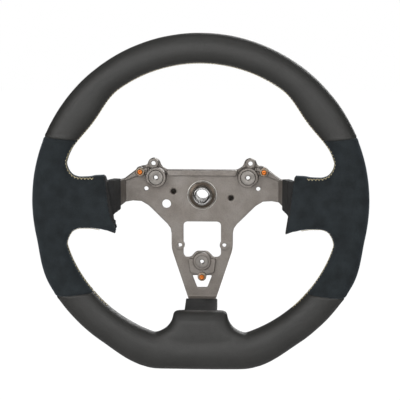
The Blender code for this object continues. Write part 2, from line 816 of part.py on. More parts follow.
def boss_inserts():
    """Threaded steel bushes pressed into the three airbag bosses."""
    for name, (x, z) in boss_places().items():
        front = insert_front(name)
        back = front + BOSS_WALL + 0.8 * MM
        flange_r, shank_r = LOWER_BUTTON_R if name == "lower" else BOSS_RECESS_R - GAP, INSERT_SHANK_R
        profile = [
            (flange_r - 0.5 * MM, front + 0.1 * MM), (flange_r, front + 0.6 * MM),
            (flange_r, front + BOSS_RECESS - GAP), (shank_r, front + BOSS_RECESS - GAP),
            (shank_r, back), (INSERT_BORE_R, back),
            (INSERT_BORE_R, front + 0.8 * MM), (INSERT_BORE_R + 0.7 * MM, front + 0.1 * MM),
        ]
        insert = turned(f"boss_insert_{name}", profile, plain_steel())
        insert.location = (x, 0, z)


def guide_profile():
    return [
        (4.2 * MM, GUIDE_FRONT), (4.5 * MM, GUIDE_FRONT + 0.3 * MM), (4.5 * MM, LUG_FRONT - GAP),
        (GUIDE_R, LUG_FRONT - GAP), (GUIDE_R, GUIDE_BACK), (GUIDE_BORE_R, GUIDE_BACK),
        (GUIDE_BORE_R, CUP_FLOOR), (CUP_R, CUP_FLOOR), (CUP_R, GUIDE_FRONT),
    ]


def pin_profile():
    groove_front, groove_back = CLIP_FRONT - GAP, CLIP_FRONT + CLIP_THICKNESS + GAP
    return [
        (0, PIN_FRONT + 0.5 * MM), (0.9 * MM, PIN_FRONT + 0.15 * MM), (1.5 * MM, PIN_FRONT),
        (2.4 * MM, PIN_FRONT + 0.2 * MM), (PIN_HEAD_R, PIN_FRONT + 0.8 * MM), (PIN_HEAD_R, PIN_HEAD_BACK),
        (PIN_R, PIN_HEAD_BACK), (PIN_R, groove_front), (PIN_GROOVE_R, groove_front),
        (PIN_GROOVE_R, groove_back), (PIN_R, groove_back), (PIN_R, PIN_BACK - 0.4 * MM),
        (PIN_R - 0.4 * MM, PIN_BACK), (0, PIN_BACK),
    ]


def spring_path():
    front, back = PIN_HEAD_BACK + SPRING_WIRE_R + GAP, CUP_FLOOR - SPRING_WIRE_R - GAP
    count = SPRING_TURNS * 9
    points = []
    for i in range(count + 1):
        angle = 2 * pi * i / 9
        points.append(Vector((SPRING_COIL_R * cos(angle), front + (back - front) * i / count,
                              SPRING_COIL_R * sin(angle))))
    return points


def contacts():
    """Three copper horn contacts that spring towards the driver in nylon guides."""
    clip_back = CLIP_FRONT + CLIP_THICKNESS
    inner, outer = PIN_GROOVE_R + 0.1 * MM, 3.1 * MM
    clip_profile = [(outer, CLIP_FRONT), (outer, clip_back), (inner, clip_back), (inner, CLIP_FRONT)]
    for name, (x, z) in contact_places().items():
        pieces = [
            turned(f"contact_guide_{name}", guide_profile(), natural_nylon(), 14),
            turned(f"contact_pin_{name}", pin_profile(), copper(), 12, ring=False),
            turned(f"contact_clip_{name}", clip_profile, plain_steel(), 12),
            tube(f"contact_spring_{name}", spring_path(), SPRING_WIRE_R, plain_steel(), resolution=0),
        ]
        for piece in pieces:
            piece.location = (x, 0, z)


def build():
    hub_frame()
    spline_bush()
    rim_rod()
    rim_foam()
    wraps()
    lacings()
    boss_inserts()
    contacts()


clear_scene()
PARTS = new_collection(OBJECT_NAME)
CUTTERS = new_collection("cutters")
build()
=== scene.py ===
"""The finished look of a flat-bottomed steering wheel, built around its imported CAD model.

Shapes are worked out in millimetres and made in metres. The driver looks along +Y, +X is to the driver's
right, +Z is up, and the origin is on the steering axis at the rear face of the splined bush.
"""

from itertools import product
from math import cos, pi, radians, sin

import bmesh
import bpy
import numpy as np
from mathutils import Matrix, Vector, noise


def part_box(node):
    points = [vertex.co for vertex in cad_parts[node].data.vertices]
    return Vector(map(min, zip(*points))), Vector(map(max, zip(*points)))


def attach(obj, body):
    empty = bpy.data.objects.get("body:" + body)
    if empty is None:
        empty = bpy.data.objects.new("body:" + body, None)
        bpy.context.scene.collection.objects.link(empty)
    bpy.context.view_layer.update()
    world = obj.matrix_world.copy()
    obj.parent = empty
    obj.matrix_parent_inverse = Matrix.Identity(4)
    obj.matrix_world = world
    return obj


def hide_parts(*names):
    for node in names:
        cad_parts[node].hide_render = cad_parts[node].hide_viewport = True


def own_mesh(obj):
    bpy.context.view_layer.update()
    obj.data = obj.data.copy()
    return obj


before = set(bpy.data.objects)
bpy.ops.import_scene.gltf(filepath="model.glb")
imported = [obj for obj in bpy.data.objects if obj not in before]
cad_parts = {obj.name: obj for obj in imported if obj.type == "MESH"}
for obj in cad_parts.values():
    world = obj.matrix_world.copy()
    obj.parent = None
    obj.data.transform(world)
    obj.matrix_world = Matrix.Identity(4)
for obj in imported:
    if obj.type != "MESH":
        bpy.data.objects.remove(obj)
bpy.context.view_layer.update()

MM = 0.001
LEFT, RIGHT = -1, 1
WHEEL = "wheel"

# Rim
RIM_Y = -86.0
RIM_OUTER_R = 180.0
RIM_INNER_R = 148.4
RIM_HALF_DEPTH = 14.5
RIM_SECTION_POWER = 2.3             # 2 would be an oval section, more is squarer
FLAT_Z = 182.3                      # the flat bottom's distance below the axis
SKIN = 1.2                          # thickness of leather and suede

# Spokes: outer surface of the side pads at distances from the axis, and of the lower pad at heights.
SIDE_X = (80, 110, 117, 130, 137, 141.7, 145.2, 160)
SIDE_TOP = (29.4, 28.4, 27.2, 26.8, 29.5, 36.5, 47, 52)
SIDE_LOW = (-36.5, -29.6, -28.3, -28.2, -31.0, -38.3, -49, -54)
SIDE_FRONT = (-94.5, -96, -96.8, -97.8, -98.4, -98.7, -98.9, -99)
SIDE_BACK = (-72, -72, -72.5, -73, -73.5, -74, -74, -75)
LOW_Z = (-174, -166, -160, -146, -141, -137.4, -132, -127.5, -123, -119, -112)
LOW_HALF_WIDTH = (62, 62, 62, 54, 44, 37, 32.4, 30.2, 29.2, 28.6, 28.4)
LOW_FRONT = (-95, -98.6, -99.0, -98.9, -98.7, -98.4, -98, -97.4, -94.5, -91, -86)
LOW_BACK = (-77, -76, -75, -74, -74, -73.5, -73, -73, -73.5, -74, -74)
LOW_TOP = -118.9                    # the lower pad's upper end
LOW_TOP_BLEND = 4.5
LOW_END = -174.0                    # and its lower end, inside the rim
SIDE_ENDS = (84, 160)               # the side pads' raw ends, beyond the cut and inside the rim
PAD_SECTION_POWER = 3.4
LOW_SECTION_POWER = 2.7
PAD_BLEND = 5.0                     # fillet between the pads and the rim
END_X = 97.0                        # where the side pads are cut, before their ends are shaped
END_FADE_X = 122.0                  # the shaping of the ends fades out here
SPOKE_REACH = 60.0                  # the spokes lie within this height of the axis

# Seams between leather and suede: height at the inner edge, slope, and where that edge is
UPPER_SEAM = (66.5, 0.115, 133.0)
LOWER_SEAM = (-96.7, -0.125, 111.0)
SEAM_STEPS = (0.0, -0.55, 0.55, -1.2, 1.2)     # rows of edges along each seam, which hold its groove

GRID = 1.25                         # spacing of the points that the grip surface is found on
STITCH_PITCH = 3.6
STITCH_REACH = 1.2                  # the stitches cross this far to each side of the lacing's line
THREAD_R = 0.33
LACING_SHIFT = 2.2                  # the lacing runs this far to the driver's side of the rim's middle
SPOKE_LACING_SHIFT = 6.0            # and this far along the tops of the spokes

# Hub
SPLINE_ROOT_R = 7.75
SPLINE_TIP_R = 7.0
SPLINE_TEETH = 24
GUIDE_FLOOR_Y = -33.5               # depth of the floor that each contact's spring presses on


# ---------------------------------------------------------------- grip surface

def smoothstep(t):
    t = np.clip(t, 0.0, 1.0)
    return t * t * (3 - 2 * t)


def soft_min(a, b, blend):
    """The smaller of two distances, filleted over the length blend where they cross."""
    h = np.clip(0.5 + 0.5 * (b - a) / blend, 0.0, 1.0)
    return b * (1 - h) + a * h - blend * h * (1 - h)


def soft_max(a, b, blend):
    return -soft_min(-a, -b, blend)


def eased(at, stations, values, width=1.6):
    """Reads a stepped profile with its corners smoothed over a few millimetres."""
    fine = np.arange(min(stations) - 20, max(stations) + 20, 0.5)
    order = np.argsort(stations)
    straight = np.interp(fine, np.array(stations, float)[order], np.array(values, float)[order])
    reach = np.arange(-12, 13) * 0.5
    kernel = np.exp(-0.5 * (reach / width) ** 2)
    padded = np.pad(straight, 12, mode="edge")
    smooth = np.convolve(padded, kernel / kernel.sum(), mode="valid")
    return np.interp(at, fine, smooth)


def rim_radii(x, z):
    """Inner and outer radius of the rim in the direction of each point, and its distance from the axis.

    The rim widens towards the flat bottom, and swells inwards where the thumbs rest.
    """
    r = np.maximum(np.hypot(x, z), 1e-6)
    e = np.degrees(np.arcsin(np.clip(z / r, -1, 1)))
    outer = RIM_OUTER_R + 6 * smoothstep((-e - 12) / 17) + 3.6 * smoothstep((-e - 55) / 15)
    flat = FLAT_Z / np.maximum(np.sin(np.radians(-e)), 0.05)
    outer = np.where(e < -45, (outer + flat - np.sqrt((outer - flat) ** 2 + 4)) / 2, outer)
    swell = np.clip((e - 37) / 18, -1, 1)
    inner = RIM_INNER_R + 2 * smoothstep(-e / 25) - 6 * np.cos(swell * pi / 2) ** 2
    return inner, outer, r


def section_distance(u, v, half_u, half_v, power):
    """Distance from a rounded section of the given half sizes."""
    a, b = np.abs(u) / half_u, np.abs(v) / half_v
    f = np.maximum((a ** power + b ** power) ** (1 / power), 1e-3)
    slope = np.hypot((a / f) ** (power - 1) / half_u, (b / f) ** (power - 1) / half_v)
    return (f - 1) / np.maximum(slope, 1 / 40)


def grip_distance(p):
    """Distance in millimetres from the finished surface of rim and spokes; negative inside."""
    x, y, z = p[..., 0], p[..., 1], p[..., 2]
    inner, outer, r = rim_radii(x, z)
    rim = section_distance(r - (inner + outer) / 2, y - RIM_Y, (outer - inner) / 2, RIM_HALF_DEPTH,
                           RIM_SECTION_POWER)
    out = np.abs(x)
    top, low = eased(out, SIDE_X, SIDE_TOP), eased(out, SIDE_X, SIDE_LOW)
    front, back = eased(out, SIDE_X, SIDE_FRONT), eased(out, SIDE_X, SIDE_BACK)
    side = section_distance(z - (top + low) / 2, y - (front + back) / 2, (top - low) / 2, (back - front) / 2,
                            PAD_SECTION_POWER)
    side = np.maximum(side, np.maximum(out - SIDE_ENDS[1], SIDE_ENDS[0] - out))
    width = eased(z, LOW_Z, LOW_HALF_WIDTH)
    front, back = eased(z, LOW_Z, LOW_FRONT), eased(z, LOW_Z, LOW_BACK)
    lower = section_distance(x, y - (front + back) / 2, width, (back - front) / 2, LOW_SECTION_POWER)
    lower = soft_max(lower, z - LOW_TOP, LOW_TOP_BLEND)
    lower = np.maximum(lower, LOW_END - z)
    return soft_min(soft_min(rim, side, PAD_BLEND), lower, PAD_BLEND)


def slope_of(p, step=0.05):
    """Gradient of the grip distance at each point."""
    parts = []
    for axis in range(3):
        shift = np.zeros(3)
        shift[axis] = step
        parts.append((grip_distance(p + shift) - grip_distance(p - shift)) / (2 * step))
    return np.stack(parts, axis=-1)


def settle(p, rounds=2):
    """Moves points onto the grip surface along its gradient."""
    for _ in range(rounds):
        g = slope_of(p)
        p = p - grip_distance(p)[..., None] * g / np.maximum((g * g).sum(-1), 0.05)[..., None]
    return p


def surface_net(distance, low, high, step):
    """Quads around the zero level of a distance function, one vertex to each grid cell that it crosses."""
    axes = [np.arange(a, b + step, step) for a, b in zip(low, high)]
    slabs = []
    for x in axes[0]:
        grid = np.stack(np.meshgrid([x], axes[1], axes[2], indexing="ij"), axis=-1)
        slabs.append(distance(grid)[0])
    field = np.stack(slabs)
    inside = field < 0
    size = tuple(n - 1 for n in field.shape)
    corners = np.zeros(size, np.int8)
    for dx, dy, dz in product((0, 1), repeat=3):
        corners += inside[dx:dx + size[0], dy:dy + size[1], dz:dz + size[2]]
    active = (corners > 0) & (corners < 8)
    index = np.full(size, -1)
    index[active] = np.arange(active.sum())
    cells = np.argwhere(active)
    total, count = np.zeros((len(cells), 3)), np.zeros(len(cells))
    for axis in range(3):
        unit = np.eye(3, dtype=int)[axis]
        others = [np.eye(3, dtype=int)[k] for k in range(3) if k != axis]
        for a, b in product((0, 1), repeat=2):
            start = cells + a * others[0] + b * others[1]
            end = start + unit
            f0, f1 = field[tuple(start.T)], field[tuple(end.T)]
            crossed = (f0 < 0) != (f1 < 0)
            share = np.where(crossed, f0 / np.where(crossed, f0 - f1, 1.0), 0.0)
            where = start + share[:, None] * unit
            total[crossed] += where[crossed]
            count[crossed] += 1
    points = np.array(low) + step * total / count[:, None]
    quads = []
    for axis in range(3):
        unit = np.eye(3, dtype=int)[axis]
        second, third = np.eye(3, dtype=int)[(axis + 1) % 3], np.eye(3, dtype=int)[(axis + 2) % 3]
        low_side = inside[tuple(slice(0, -1) if k == axis else slice(1, -1) for k in range(3))]
        high_side = inside[tuple(slice(1, None) if k == axis else slice(1, -1) for k in range(3))]
        at = np.argwhere(low_side != high_side) + 1 - unit
        ring = [index[tuple((at - a).T)] for a in (0 * unit, second, second + third, third)]
        faces = np.stack(ring, axis=-1)
        outward = inside[tuple(at.T)]
        quads.append(np.where(outward[:, None], faces, faces[:, ::-1]))
    return points, np.concatenate(quads)


def relaxed(points, quads, rounds=3):
    """Evens out the spacing of the vertices, keeping them on the surface."""
    pairs = np.concatenate([quads[:, [0, 1]], quads[:, [1, 2]], quads[:, [2, 3]], quads[:, [3, 0]]])
    for _ in range(rounds):
        total = np.zeros_like(points)
        count = np.zeros(len(points))
        for a, b in ((0, 1), (1, 0)):
            np.add.at(total, pairs[:, a], points[pairs[:, b]])
            np.add.at(count, pairs[:, a], 1)
        points = settle(points * 0.4 + 0.6 * total / count[:, None], 1)
    return points


def uneven(p, size, seed):
    """Smooth noise from -1 to 1 with features of the given size, at each point."""
    shift = Vector((seed * 17.3, seed * 5.1, seed * 9.7))
    return np.array([noise.noise(Vector(q) / size + shift) for q in p])


# ---------------------------------------------------------------- seams and wraps

def seam_z(seam, x):
    height, slope, inner_x = seam
    return height + slope * (np.abs(x) - inner_x)


def seam_distance(p):
    """Distance from the nearer seam between leather and suede."""
    up = np.abs(p[:, 2] - seam_z(UPPER_SEAM, p[:, 0]))
    down = np.abs(p[:, 2] - seam_z(LOWER_SEAM, p[:, 0]))
    return np.minimum(up, down)


def pad_end_x(side, z):
    """Distance from the axis of a side pad's raw inner end, a little ragged where the suede was cut."""
    heights = (-38, -32, -26, -20, -12, 0, 10, 20, 31)
    left = (92.6, 90.9, 91.0, 93.2, 96.6, 98.6, 99.6, 100.8, 104.0)
    right = (93.9, 93.3, 93.0, 93.6, 95.6, 96.8, 97.8, 98.9, 102.6)
    x = np.interp(z, heights, left if side == LEFT else right)
    amount = 0.55 if side == LEFT else 0.3
    return x + amount * np.sin(z * 1.13 + side) + 0.6 * amount * np.sin(z * 2.71 + 2)


def cut_plane(bm, side, point, normal, clear=False):
    """Cuts the faces on one side of the wheel along a plane; clear removes the spoke beyond it."""
    faces = [f for f in bm.faces if side * f.calc_center_median().x > 0]
    if clear:
        faces = [f for f in faces if abs(f.calc_center_median().z) < SPOKE_REACH]
    geometry = set(faces)
    for f in faces:
        geometry.update(f.edges)
        geometry.update(f.verts)
    bmesh.ops.bisect_plane(bm, geom=list(geometry), dist=1e-4, plane_co=point, plane_no=normal,
                           clear_outer=clear)


def seam_planes(side):
    """A point and a normal for each seam on one side of the wheel."""
    for height, slope, inner_x in (UPPER_SEAM, LOWER_SEAM):
        yield Vector((side * inner_x, RIM_Y, height)), Vector((-side * slope, 0, 1)).normalized()


def grip_mesh():
    """The whole outer surface of rim and spokes, in millimetres, with edges along its seams."""
    low, high = (-190.5, RIM_Y - 17, -188), (190.5, RIM_Y + 17, 186)
    points, quads = surface_net(grip_distance, low, high, GRID)
    points = relaxed(settle(points), quads)
    mesh = bpy.data.meshes.new("grip")
    mesh.from_pydata(points.tolist(), [], quads.tolist())
    bm = bmesh.new()
    bm.from_mesh(mesh)
    bpy.data.meshes.remove(mesh)
    for side in (LEFT, RIGHT):
        for point, normal in seam_planes(side):
            for offset in SEAM_STEPS:
                cut_plane(bm, side, point + normal * offset, normal)
        cut_plane(bm, side, Vector((side * END_X, 0, 0)), Vector((-side, 0, 0)), clear=True)
    return bm


def wrap_of(centre):
    """Which wrap covers a point of the surface."""
    x, z = centre[0], centre[2]
    if z > seam_z(UPPER_SEAM, x):
        return "leather_top"
    if z < seam_z(LOWER_SEAM, x):
        return "leather_bottom"
    return "suede_left" if x < 0 else "suede_right"


# ---------------------------------------------------------------- lacing lines

def window_edge(centre, start, end, steps=900):
    """Points along a grip window's edge, at the depth of the lacing, seen from a centre inside it."""
    angles = np.radians(np.linspace(start, end, steps))
    on_spoke = smoothstep(-np.sin(angles) * 6 + 0.5) * (centre[1] > 0)
    shift = LACING_SHIFT + (SPOKE_LACING_SHIFT - LACING_SHIFT) * on_spoke
    ray = np.stack([np.cos(angles), np.zeros(steps), np.sin(angles)], axis=-1)
    origin = np.stack([np.full(steps, centre[0]), RIM_Y - shift, np.full(steps, centre[1])], axis=-1)
    near, far = np.full(steps, 5.0), np.full(steps, 5.0)
    found = np.zeros(steps, bool)
    for reach in np.arange(6.0, 190.0, 1.5):
        hit = grip_distance(origin + ray * reach) < 0
        far = np.where(~found & hit, reach, far)
        near = np.where(~found & ~hit, reach, near)
        found |= hit
    for _ in range(22):
        middle = (near + far) / 2
        hit = grip_distance(origin + ray * middle[:, None]) < 0
        far, near = np.where(hit, middle, far), np.where(hit, near, middle)
    return (origin + ray * far[:, None])[found]


def evenly(points, pitch):
    """Resamples a line at equal steps of about the given length."""
    run = np.concatenate([[0], np.cumsum(np.linalg.norm(np.diff(points, axis=0), axis=1))])
    at = np.linspace(0, run[-1], max(2, round(run[-1] / pitch)) + 1)
    return np.stack([np.interp(at, run, points[:, k]) for k in range(3)], axis=-1)


def lacing_lines():
    """The line each lacing follows, along the edge of its window from pad end to pad end."""
    top = window_edge((0, 62), -24.0, 204.0)
    top = top[(np.abs(top[:, 0]) > 113) | (top[:, 2] > 60)]
    lines = {"lacing_top": top}
    for name, side in (("lacing_left", LEFT), ("lacing_right", RIGHT)):
        edge = window_edge((84, -78), 96.0, -66.0)
        edge = edge[(edge[:, 0] > 108) | (edge[:, 2] < -60)]
        edge = edge[(edge[:, 0] > 31) | (edge[:, 2] > -60)]
        lines[name] = edge * np.array([side, 1, 1])
    return lines


def line_distance(p, line):
    """Distance to a line given by close points, and how far along it the nearest point lies."""
    steps = np.linalg.norm(np.diff(line, axis=0), axis=1)
    along = np.concatenate([[0], np.cumsum(steps)])
    best, place = np.full(len(p), 1e9), np.zeros(len(p))
    for q, s in zip(line, along):
        d = np.abs(p - q).max(1)
        close = d < 9
        if close.any():
            exact = np.linalg.norm(p[close] - q, axis=1)
            better = exact < best[close]
            rows = np.flatnonzero(close)[better]
            best[rows] = exact[better]
            place[rows] = s
    return best, place


def shaped(points, normals, lines):
    """Presses in the seams and lacing lines and gives the skin its slight unevenness."""
    seam = seam_distance(points)
    move = -0.6 * np.exp(-(seam / 0.7) ** 2) + 0.25 * np.exp(-((seam - 2.4) / 1.6) ** 2)
    move[np.abs(points[:, 0]) < 60] = 0
    for line in lines.values():
        gap, along = line_distance(points, evenly(line, 1.0))
        move += -0.65 * np.exp(-(gap / 1.3) ** 2)
        pucker = np.cos(2 * pi * along / STITCH_PITCH) * np.exp(-((gap - 3.2) / 1.8) ** 2)
        move += 0.12 * pucker
    move += 0.12 * uneven(points, 22.0, 1) + 0.05 * uneven(points, 7.0, 2)
    return points + normals * move[:, None]


# ---------------------------------------------------------------- objects

def add_object(name, mesh):
    made = bpy.data.objects.new(name, mesh)
    bpy.context.scene.collection.objects.link(made)
    return made


def mesh_object(name, points, faces):
    """Makes an object from vertices in millimetres."""
    mesh = bpy.data.meshes.new(name)
    mesh.from_pydata((np.asarray(points) * MM).tolist(), [], [list(map(int, f)) for f in faces])
    mesh.validate()
    mesh.polygons.foreach_set("use_smooth", [True] * len(mesh.polygons))
    return add_object(name, mesh)


def with_modifiers(piece):
    """Applies a piece's modifiers to its mesh."""
    graph = bpy.context.evaluated_depsgraph_get()
    result = bpy.data.meshes.new_from_object(piece.evaluated_get(graph))
    piece.modifiers.clear()
    piece.data = result
    return piece


def place_piece(piece, body, node, finish):
    """Gives a piece its finish, and puts it on a body in place of a CAD node."""
    piece.data.materials.clear()
    piece.data.materials.append(finish)
    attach(piece, body)
    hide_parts(node)
    return piece


def remade(node, voxel, rounds, keep):
    """A copy of a CAD node with its edges worn round, as a casting or moulding has them."""
    piece = add_object(f"{node}_look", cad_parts[node].data.copy())
    weld = piece.modifiers.new("weld", "WELD")
    weld.merge_threshold = 0.00002
    grid = piece.modifiers.new("voxels", "REMESH")
    grid.mode = "VOXEL"
    grid.voxel_size = voxel * MM
    grid.use_smooth_shade = True
    ease = piece.modifiers.new("ease", "SMOOTH")
    ease.factor = 0.5
    ease.iterations = rounds
    thin = piece.modifiers.new("thin", "DECIMATE")
    thin.ratio = keep
    with_modifiers(piece)
    piece.data.polygons.foreach_set("use_smooth", [True] * len(piece.data.polygons))
    return piece


def softened(profile, radius):
    """Rounds the corners of a closed (radius, depth) profile."""
    points = []
    count = len(profile)
    for i, here in enumerate(profile):
        here = Vector(here)
        before, after = Vector(profile[i - 1]) - here, Vector(profile[(i + 1) % count]) - here
        if here.x < 1e-6:
            points.append(tuple(here))
            continue
        reach = min(radius, before.length * 0.45, after.length * 0.45)
        a, b = here + before.normalized() * reach, here + after.normalized() * reach
        for t in (0.0, 0.33, 0.67, 1.0):
            points.append(tuple(a * (1 - t) ** 2 + here * 2 * t * (1 - t) + b * t ** 2))
    return points


def turned(name, profile, place, segments=72, radius=0.2, ring=True):
    """A solid of revolution about a line along Y through place (x, z), from (radius, depth) points."""
    outline = softened(profile, radius)
    points, faces, rows = [], [], []
    for r, y in outline:
        if r < 1e-6:
            rows.append([len(points)] * segments)
            points.append((place[0], y, place[1]))
            continue
        rows.append(list(range(len(points), len(points) + segments)))
        for k in range(segments):
            angle = 2 * pi * k / segments
            points.append((place[0] + r * cos(angle), y, place[1] + r * sin(angle)))
    spans = len(rows) if ring else len(rows) - 1
    for i in range(spans):
        here, there = rows[i], rows[(i + 1) % len(rows)]
        for k in range(segments):
            m = (k + 1) % segments
            corners = [here[k], here[m], there[m], there[k]]
            face = [c for j, c in enumerate(corners) if c != corners[j - 1]]
            if len(face) > 2:
                faces.append(face)
    return mesh_object(name, points, faces)


def tube_mesh(line, radius, sides):
    """A round thread or wire along points in millimetres, closed at both ends."""
    line = np.asarray(line, float)
    run = np.gradient(line, axis=0)
    run /= np.linalg.norm(run, axis=1)[:, None]
    up = np.array([0.0, 1.0, 0.0])
    points, faces = [], []
    across = np.cross(run[0], up if abs(run[0] @ up) < 0.9 else np.array([1.0, 0, 0]))
    for i, (where, ahead) in enumerate(zip(line, run)):
        across = across - ahead * (across @ ahead)
        across /= np.linalg.norm(across)
        other = np.cross(ahead, across)
        for k in range(sides):
            angle = 2 * pi * k / sides
            points.append(where + radius * (across * cos(angle) + other * sin(angle)))
    for i in range(len(line) - 1):
        for k in range(sides):
            m = (k + 1) % sides
            faces.append((i * sides + k, i * sides + m, (i + 1) * sides + m, (i + 1) * sides + k))
    faces.append(tuple(reversed(range(sides))))
    faces.append(tuple(range((len(line) - 1) * sides, len(line) * sides)))
    return points, faces


def joined(parts):
    """One set of points and faces from several."""
    points, faces = [], []
    for some, sides in parts:
        start = len(points)
        points.extend(some)
        faces.extend(tuple(i + start for i in f) for f in sides)
    return points, faces


# ---------------------------------------------------------------- materials

def new_material(name):
    made = bpy.data.materials.new(name)
    made.use_nodes = True
    nodes, links = made.node_tree.nodes, made.node_tree.links
    shader = nodes["Principled BSDF"]
    where = nodes.new("ShaderNodeTexCoord").outputs["Object"]
    return made, nodes, links, shader, where


def texture(nodes, links, where, scale, detail=3.0, rough=0.55):
    """Noise with features of about one unit over scale."""
    node = nodes.new("ShaderNodeTexNoise")
    node.inputs["Scale"].default_value = scale
    node.inputs["Detail"].default_value = detail
    node.inputs["Roughness"].default_value = rough
    links.new(where, node.inputs["Vector"])
    return node.outputs["Fac"]


def cells(nodes, links, where, scale, feature="DISTANCE_TO_EDGE"):
    """A pattern of irregular cells, about one unit over scale across."""
    node = nodes.new("ShaderNodeTexVoronoi")
    node.feature = feature
    node.inputs["Scale"].default_value = scale
    links.new(where, node.inputs["Vector"])
    return node.outputs["Distance"]


def ramp(nodes, links, value, stops):
    """Colours or greys along a value, from (place, colour) stops."""
    node = nodes.new("ShaderNodeValToRGB")
    node.color_ramp.elements[0].position = stops[0][0]
    node.color_ramp.elements[1].position = stops[-1][0]
    for place, _ in stops[1:-1]:
        node.color_ramp.elements.new(place)
    for element, (place, colour) in zip(node.color_ramp.elements, stops):
        rgb = colour if isinstance(colour, tuple) else (colour,) * 3
        element.color = (*rgb, 1.0)
    links.new(value, node.inputs["Fac"])
    return node.outputs["Color"]


def multiplied(nodes, links, first, second):
    node = nodes.new("ShaderNodeMix")
    node.data_type = "RGBA"
    node.blend_type = "MULTIPLY"
    node.inputs["Factor"].default_value = 1.0
    links.new(first, node.inputs["A"])
    links.new(second, node.inputs["B"])
    return node.outputs["Result"]


def bumped(nodes, links, shader, layers):
    """Stacks bump layers given as (height, strength, depth in millimetres)."""
    normal = None
    for height, strength, depth in layers:
        node = nodes.new("ShaderNodeBump")
        node.inputs["Strength"].default_value = strength
        node.inputs["Distance"].default_value = depth * MM
        links.new(height, node.inputs["Height"])
        if normal is not None:
            links.new(normal, node.inputs["Normal"])
        normal = node.outputs["Normal"]
    links.new(normal, shader.inputs["Normal"])


def leather_material():
    made, nodes, links, shader, where = new_material("black_leather")
    broad = texture(nodes, links, where, 38, 4)
    colour = ramp(nodes, links, broad, [(0.3, (0.022, 0.0215, 0.0195)), (0.7, (0.028, 0.0275, 0.0255))])
    grain = cells(nodes, links, where, 1150)
    creases = ramp(nodes, links, grain, [(0.0, 0.62), (0.16, 1.0)])
    links.new(multiplied(nodes, links, colour, creases), shader.inputs["Base Color"])
    links.new(ramp(nodes, links, texture(nodes, links, where, 260, 3), [(0.3, 0.45), (0.7, 0.56)]),
              shader.inputs["Roughness"])
    shader.inputs["IOR"].default_value = 1.5
    bumped(nodes, links, shader, [(ramp(nodes, links, grain, [(0.0, 0.0), (0.22, 1.0)]), 0.35, 0.12),
                                  (texture(nodes, links, where, 2600, 2), 0.25, 0.05)])
    return made


def suede_material():
    made, nodes, links, shader, where = new_material("black_suede")
    brushed = texture(nodes, links, where, 70, 3, 0.5)
    colour = ramp(nodes, links, brushed, [(0.32, (0.0195, 0.0230, 0.0250)), (0.5, (0.0250, 0.0300, 0.0330)),
                                          (0.7, (0.0310, 0.0375, 0.0415))])
    fluff = texture(nodes, links, where, 1500, 4, 0.7)
    links.new(multiplied(nodes, links, colour, ramp(nodes, links, fluff, [(0.3, 0.6), (0.7, 1.0)])),
              shader.inputs["Base Color"])
    shader.inputs["Roughness"].default_value = 0.95
    shader.inputs["Specular IOR Level"].default_value = 0.15
    shader.inputs["Sheen Weight"].default_value = 0.22
    shader.inputs["Sheen Roughness"].default_value = 0.45
    shader.inputs["Sheen Tint"].default_value = (0.55, 0.66, 0.78, 1.0)
    bumped(nodes, links, shader, [(fluff, 0.6, 0.25)])
    return made


def foam_material():
    made, nodes, links, shader, where = new_material("black_foam")
    cloud = texture(nodes, links, where, 120, 4)
    links.new(ramp(nodes, links, cloud, [(0.3, 0.010), (0.7, 0.021)]), shader.inputs["Base Color"])
    shader.inputs["Roughness"].default_value = 0.8
    pits = cells(nodes, links, where, 900, "F1")
    bumped(nodes, links, shader, [(pits, 0.4, 0.15), (cloud, 0.5, 0.4)])
    return made


def thread_material():
    made, nodes, links, shader, where = new_material("tan_thread")
    shade = texture(nodes, links, where, 700, 3)
    links.new(ramp(nodes, links, shade, [(0.3, (0.34, 0.28, 0.15)), (0.7, (0.66, 0.58, 0.38))]),
              shader.inputs["Base Color"])
    shader.inputs["Roughness"].default_value = 0.75
    shader.inputs["Sheen Weight"].default_value = 0.2
    bumped(nodes, links, shader, [(texture(nodes, links, where, 4200, 2), 0.6, 0.08)])
    return made


def alloy_material():
    made, nodes, links, shader, where = new_material("cast_alloy")
    broad = texture(nodes, links, where, 55, 5, 0.6)
    colour = ramp(nodes, links, broad, [(0.28, (0.190, 0.167, 0.147)), (0.5, (0.232, 0.208, 0.187)),
                                        (0.74, (0.272, 0.251, 0.230))])
    specks = ramp(nodes, links, texture(nodes, links, where, 800, 3, 0.6), [(0.3, 0.8), (0.55, 1.0)])
    links.new(multiplied(nodes, links, colour, specks), shader.inputs["Base Color"])
    shader.inputs["Metallic"].default_value = 0.55
    links.new(ramp(nodes, links, texture(nodes, links, where, 180, 4), [(0.3, 0.42), (0.7, 0.6)]),
              shader.inputs["Roughness"])
    bumped(nodes, links, shader, [(texture(nodes, links, where, 1300, 3, 0.6), 0.45, 0.12),
                                  (broad, 0.25, 0.5)])
    return made


def metal_material(name, dark, light, rough_low, rough_high, grain=900):
    made, nodes, links, shader, where = new_material(name)
    shade = texture(nodes, links, where, 140, 3)
    links.new(ramp(nodes, links, shade, [(0.3, dark), (0.7, light)]), shader.inputs["Base Color"])
    shader.inputs["Metallic"].default_value = 1.0
    fine = texture(nodes, links, where, grain, 2)
    links.new(ramp(nodes, links, fine, [(0.35, rough_low), (0.65, rough_high)]), shader.inputs["Roughness"])
    bumped(nodes, links, shader, [(fine, 0.15, 0.03)])
    return made


def nylon_material():
    made, nodes, links, shader, where = new_material("natural_nylon")
    cloud = texture(nodes, links, where, 420, 3)
    links.new(ramp(nodes, links, cloud, [(0.3, (0.30, 0.235, 0.16)), (0.7, (0.42, 0.34, 0.24))]),
              shader.inputs["Base Color"])
    shader.inputs["Roughness"].default_value = 0.45
    shader.inputs["Subsurface Weight"].default_value = 0.1
    shader.inputs["Subsurface Scale"].default_value = 0.002
    bumped(nodes, links, shader, [(cloud, 0.2, 0.1)])
    return made


